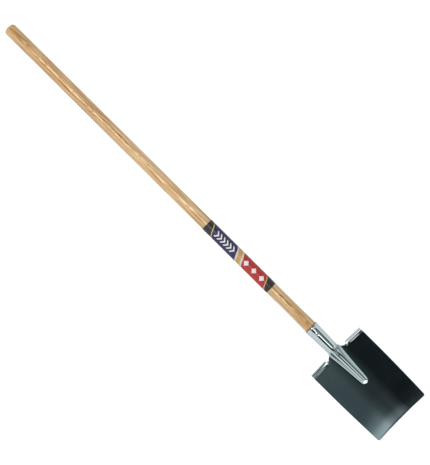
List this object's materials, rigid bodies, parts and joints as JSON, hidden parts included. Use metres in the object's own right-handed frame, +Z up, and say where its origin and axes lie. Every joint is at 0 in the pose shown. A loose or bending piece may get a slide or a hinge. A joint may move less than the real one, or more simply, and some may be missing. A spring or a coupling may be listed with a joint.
{
  "type": "long-handled digging spade",
  "caption": "Square-mouthed digging spade: polished steel blade with rolled treads and a front ridge, riveted socket, and a long straight ash shaft with a printed wrap.",
  "frame": {"origin": "on the ground, under the middle of the spade's bounding box, with the spade lying on its back", "axes": "+X from the shaft's butt to the cutting edge, +Z up, out of the blade's dished front, +Y across the blade"},
  "size_m": [1.5534, 0.193, 0.0481],
  "materials": {
    "ash": "satin varnish",
    "polished_steel": "mirror-polished steel",
    "plated_steel": "bright zinc plate",
    "printed_film": "printed film"
  },
  "bodies": {
    "root": {"shaft": "ash", "head": "polished_steel", "rivet": "plated_steel", "label": "printed_film"}
  },
  "joints": []
}
